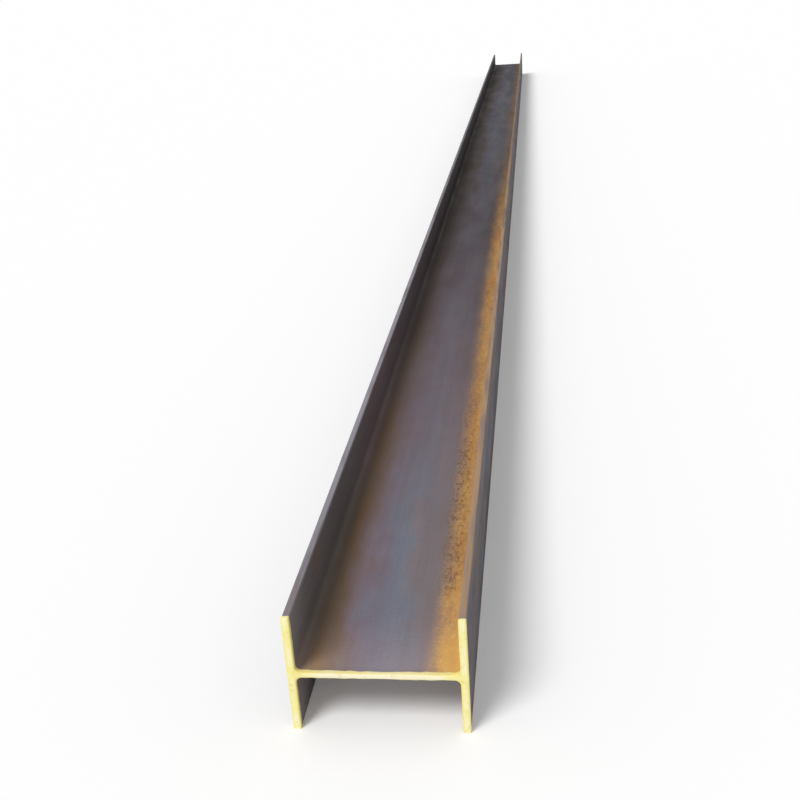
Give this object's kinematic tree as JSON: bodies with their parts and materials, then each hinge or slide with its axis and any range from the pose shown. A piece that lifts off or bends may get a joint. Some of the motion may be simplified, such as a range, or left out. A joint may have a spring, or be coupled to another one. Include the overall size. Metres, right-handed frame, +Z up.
{
  "type": "steel h-beam",
  "caption": "Straight hot-rolled steel H-beam, parallel flanges joined by a web, lying on its flange toes, with mill scale, rust streaks and a painted end.",
  "frame": {"origin": "on the floor, under the middle of the web, half-way along the beam", "axes": "+Y along the beam towards its unpainted end, +X across the section depth, +Z up, with the web level and the flanges upright"},
  "size_m": [0.34, 12, 0.25],
  "materials": {
    "rolled_steel": "hot-rolled mill scale with rust along the roots and yellow paint on one sawn end"
  },
  "bodies": {
    "root": {"h_beam": "rolled_steel"}
  },
  "joints": []
}
